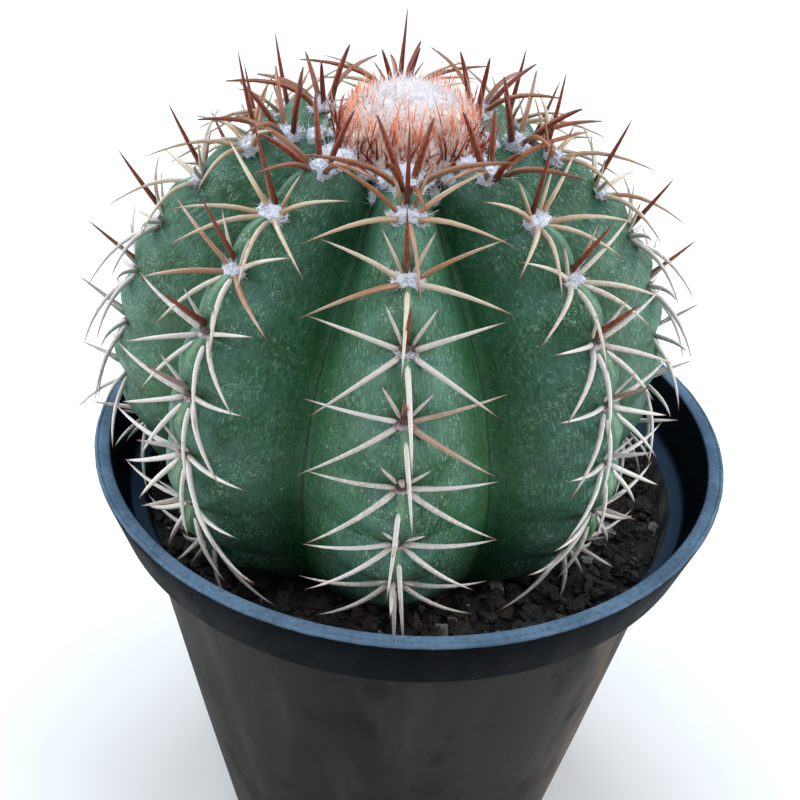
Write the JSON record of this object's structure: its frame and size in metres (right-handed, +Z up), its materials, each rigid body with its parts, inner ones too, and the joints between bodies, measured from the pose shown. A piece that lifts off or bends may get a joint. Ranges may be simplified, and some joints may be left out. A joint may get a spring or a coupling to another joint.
{
  "type": "potted round cactus",
  "caption": "Round ribbed cactus with curved spines and a woolly bristled head, growing in soil in a tapered black nursery pot.",
  "frame": {"origin": "middle of the pot's flat underside, on the surface that it stands on", "axes": "+Z up along the pot's axis; -Y towards the front, the side that the picture shows; +X to the right in the picture"},
  "size_m": [0.1594, 0.155, 0.2175],
  "materials": {
    "pot": "satin black moulded plastic, scuffed and dusty on the wall",
    "soil": "dark, damp, chippy potting mix of bark and peat",
    "cactus_body": "waxy, finely speckled green skin, with cream to red-brown horny spines",
    "cephalium": "dense white wool with orange-red bristles"
  },
  "bodies": {
    "root": {"pot": "pot", "soil": "soil", "cactus_body": "cactus_body", "cephalium": "cephalium"}
  },
  "joints": []
}
